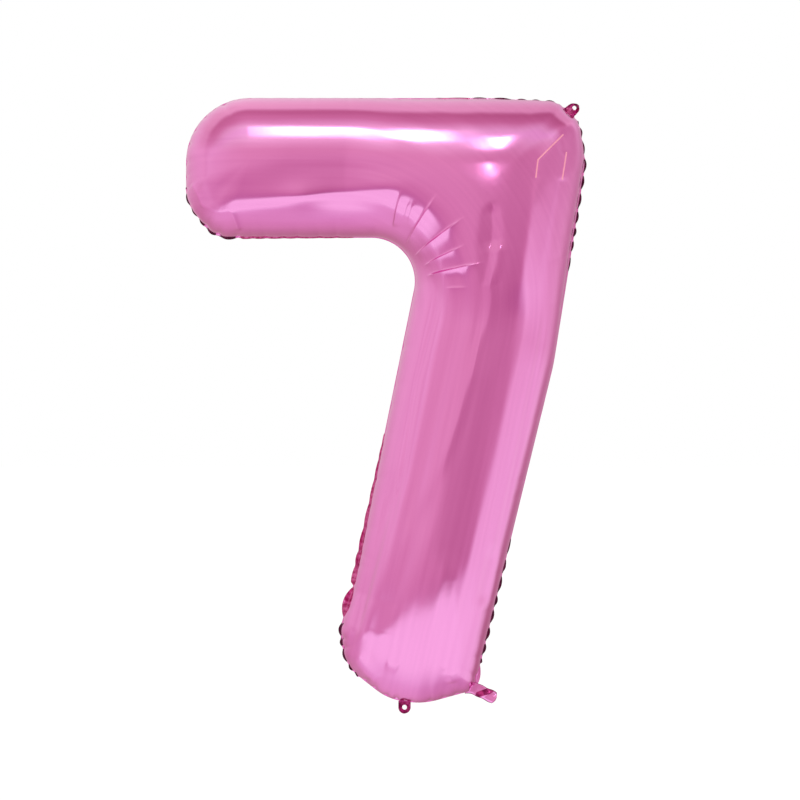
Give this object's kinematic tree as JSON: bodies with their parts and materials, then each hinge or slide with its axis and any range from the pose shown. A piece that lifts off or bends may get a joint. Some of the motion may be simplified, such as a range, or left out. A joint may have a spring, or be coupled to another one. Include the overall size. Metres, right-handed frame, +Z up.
{
  "type": "foil number balloon",
  "caption": "Inflated metallic foil balloon in the shape of the digit seven, with folding hanging tabs, a fill neck and a self-closing film valve.",
  "frame": {"origin": "centre of the eyelet in the bottom hanging tab, in the seam plane", "axes": "+Z up the digit, +X to the right as it is read, the front panel faces -Y and the seam lies in the XZ plane"},
  "size_m": [0.5642, 0.2372, 0.8705],
  "materials": {
    "foil": "bright metallised pink film",
    "valve_film": "clear glossy film",
    "release_ink": "matt printed coat"
  },
  "bodies": {
    "balloon": {"front_panel": "foil", "back_panel": "foil", "valve_front_root": "valve_film", "valve_back_root": "valve_film", "valve_release_patch": "release_ink"},
    "neck": {"neck_front_ply": "foil", "neck_back_ply": "foil", "inlet_front_film": "valve_film", "inlet_back_film": "valve_film"},
    "bottom_tab": {"bottom_hang_tab": "foil"},
    "top_tab": {"top_hang_tab": "foil"},
    "front_lip": {"valve_front_lip": "valve_film"},
    "back_lip": {"valve_back_lip": "valve_film"}
  },
  "joints": [
    {"name": "neck_fold", "type": "hinge", "parent": "balloon", "child": "neck", "pos_m": [0.10114, 0, 0.02517], "axis": [0.4258, 0, 0.9048], "range_deg": [-80, 80]},
    {"name": "bottom_tab_fold", "type": "hinge", "parent": "balloon", "child": "bottom_tab", "pos_m": [0, 0, 0.006], "axis": [1, 0, 0], "range_deg": [-80, 80]},
    {"name": "top_tab_fold", "type": "hinge", "parent": "balloon", "child": "top_tab", "pos_m": [0.23561, 0, 0.84294], "axis": [-0.6508, 0, 0.7593], "range_deg": [-60, 95]},
    {"name": "front_lip_open", "type": "hinge", "parent": "balloon", "child": "front_lip", "pos_m": [0.08169, -0.00052, 0.03432], "axis": [0.4258, 0, 0.9048], "range_deg": [0, 7]},
    {"name": "back_lip_open", "type": "hinge", "parent": "balloon", "child": "back_lip", "pos_m": [0.08169, 0.00052, 0.03432], "axis": [0.4258, 0, 0.9048], "range_deg": [-7, 0]}
  ],
  "couplings": [
    {"joint": "back_lip_open", "follows": "front_lip_open", "ratio": -1}
  ]
}
